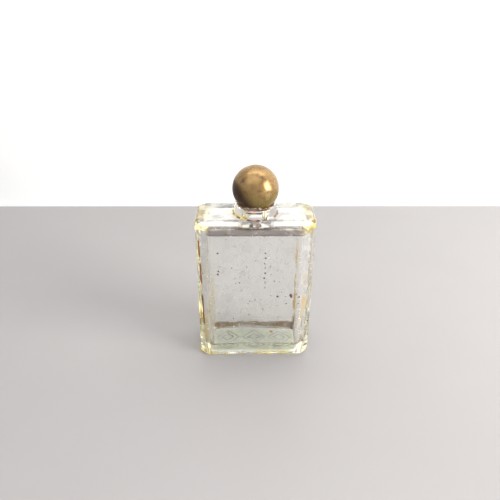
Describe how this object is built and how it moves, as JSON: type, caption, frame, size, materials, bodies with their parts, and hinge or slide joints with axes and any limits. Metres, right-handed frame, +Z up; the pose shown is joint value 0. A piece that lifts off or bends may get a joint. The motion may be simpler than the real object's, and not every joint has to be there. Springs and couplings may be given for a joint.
{
  "type": "medicine bottle",
  "caption": "Flat rectangular clear-glass medicine bottle with cut corners, a round neck collar and a hollow brass ball screw cap with a foil-faced cork liner.",
  "frame": {"origin": "centre of the base, on the plane that the bottle stands on", "axes": "+Z up along the neck, +X across the width, -Y towards the front face; the depth along Y is the shortest side"},
  "size_m": [0.0494, 0.022, 0.0865],
  "materials": {
    "clear_glass": "clear moulded glass with a faint green-grey tint",
    "aged_brass": "worn polish with brown patina",
    "sleeve_brass": "drawn, dull",
    "cork": "cut cork",
    "tin_foil": "dull rolled foil"
  },
  "bodies": {
    "bottle": {"glass_bottle": "clear_glass"},
    "liner": {"cork_liner": "cork", "foil_facing": "tin_foil"},
    "cap": {"brass_ball_shell": "aged_brass", "thread_sleeve": "sleeve_brass"}
  },
  "joints": [
    {"name": "cap_lift", "type": "slide", "parent": "bottle", "child": "liner", "axis": [0, 0, 1], "range_m": [0, 0.0128]},
    {"name": "cap_turn", "type": "hinge", "parent": "liner", "child": "cap", "pos_m": [0, 0, 0.0756], "axis": [0, 0, 1], "range_deg": [0, 2160]}
  ],
  "couplings": [
    {"joint": "cap_lift", "follows": "cap_turn", "m_per_rad": 0.00033688}
  ]
}
